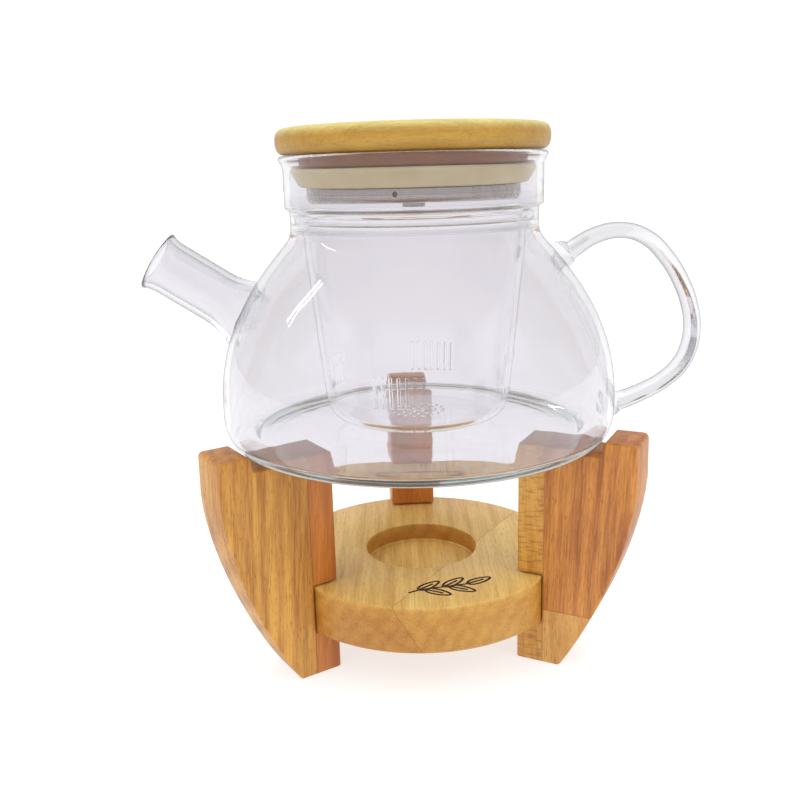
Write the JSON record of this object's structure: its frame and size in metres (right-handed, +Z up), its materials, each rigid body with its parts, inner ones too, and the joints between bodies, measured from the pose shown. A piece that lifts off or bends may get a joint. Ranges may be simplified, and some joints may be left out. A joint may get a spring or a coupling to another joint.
{
  "type": "teapot with warmer stand",
  "caption": "Round glass teapot with straight spout, loop handle, glass infuser and wooden lid, on a wooden plank stand with a tealight recess.",
  "frame": {"origin": "on the surface that the stand's feet rest on, below the middle of the whole object's box", "axes": "+Z up, +X towards the handle, -X towards the spout, -Y towards the gap between the front planks"},
  "size_m": [0.2008, 0.1546, 0.1887],
  "materials": {
    "stand_wood": "sanded, satin oil",
    "dowel_wood": "raw",
    "lid_wood": "turned, satin oil",
    "clear_glass": "polished borosilicate glass",
    "infuser_glass": "polished borosilicate glass",
    "silicone": "matte, slightly translucent",
    "steel": "spun and brushed"
  },
  "bodies": {
    "stand": {"base_disc": "stand_wood", "leg_front_left": "stand_wood", "leg_front_right": "stand_wood", "leg_rear": "stand_wood", "dowel_front_left": "dowel_wood", "dowel_front_right": "dowel_wood", "dowel_rear": "dowel_wood"},
    "pot": {"glass_body": "clear_glass", "spout": "clear_glass", "handle": "clear_glass"},
    "infuser": {"infuser": "infuser_glass"},
    "lid": {"lid_top": "lid_wood", "seal_ring": "silicone", "steel_cup": "steel", "lid_screw": "steel"}
  },
  "joints": [
    {"name": "pot_lift", "type": "slide", "parent": "stand", "child": "pot", "axis": [0, 0, 1], "range_m": [0, 0.12]},
    {"name": "infuser_lift", "type": "slide", "parent": "pot", "child": "infuser", "axis": [0, 0, 1], "range_m": [0, 0.12]},
    {"name": "lid_lift", "type": "slide", "parent": "infuser", "child": "lid", "axis": [0, 0, 1], "range_m": [0, 0.05]}
  ]
}
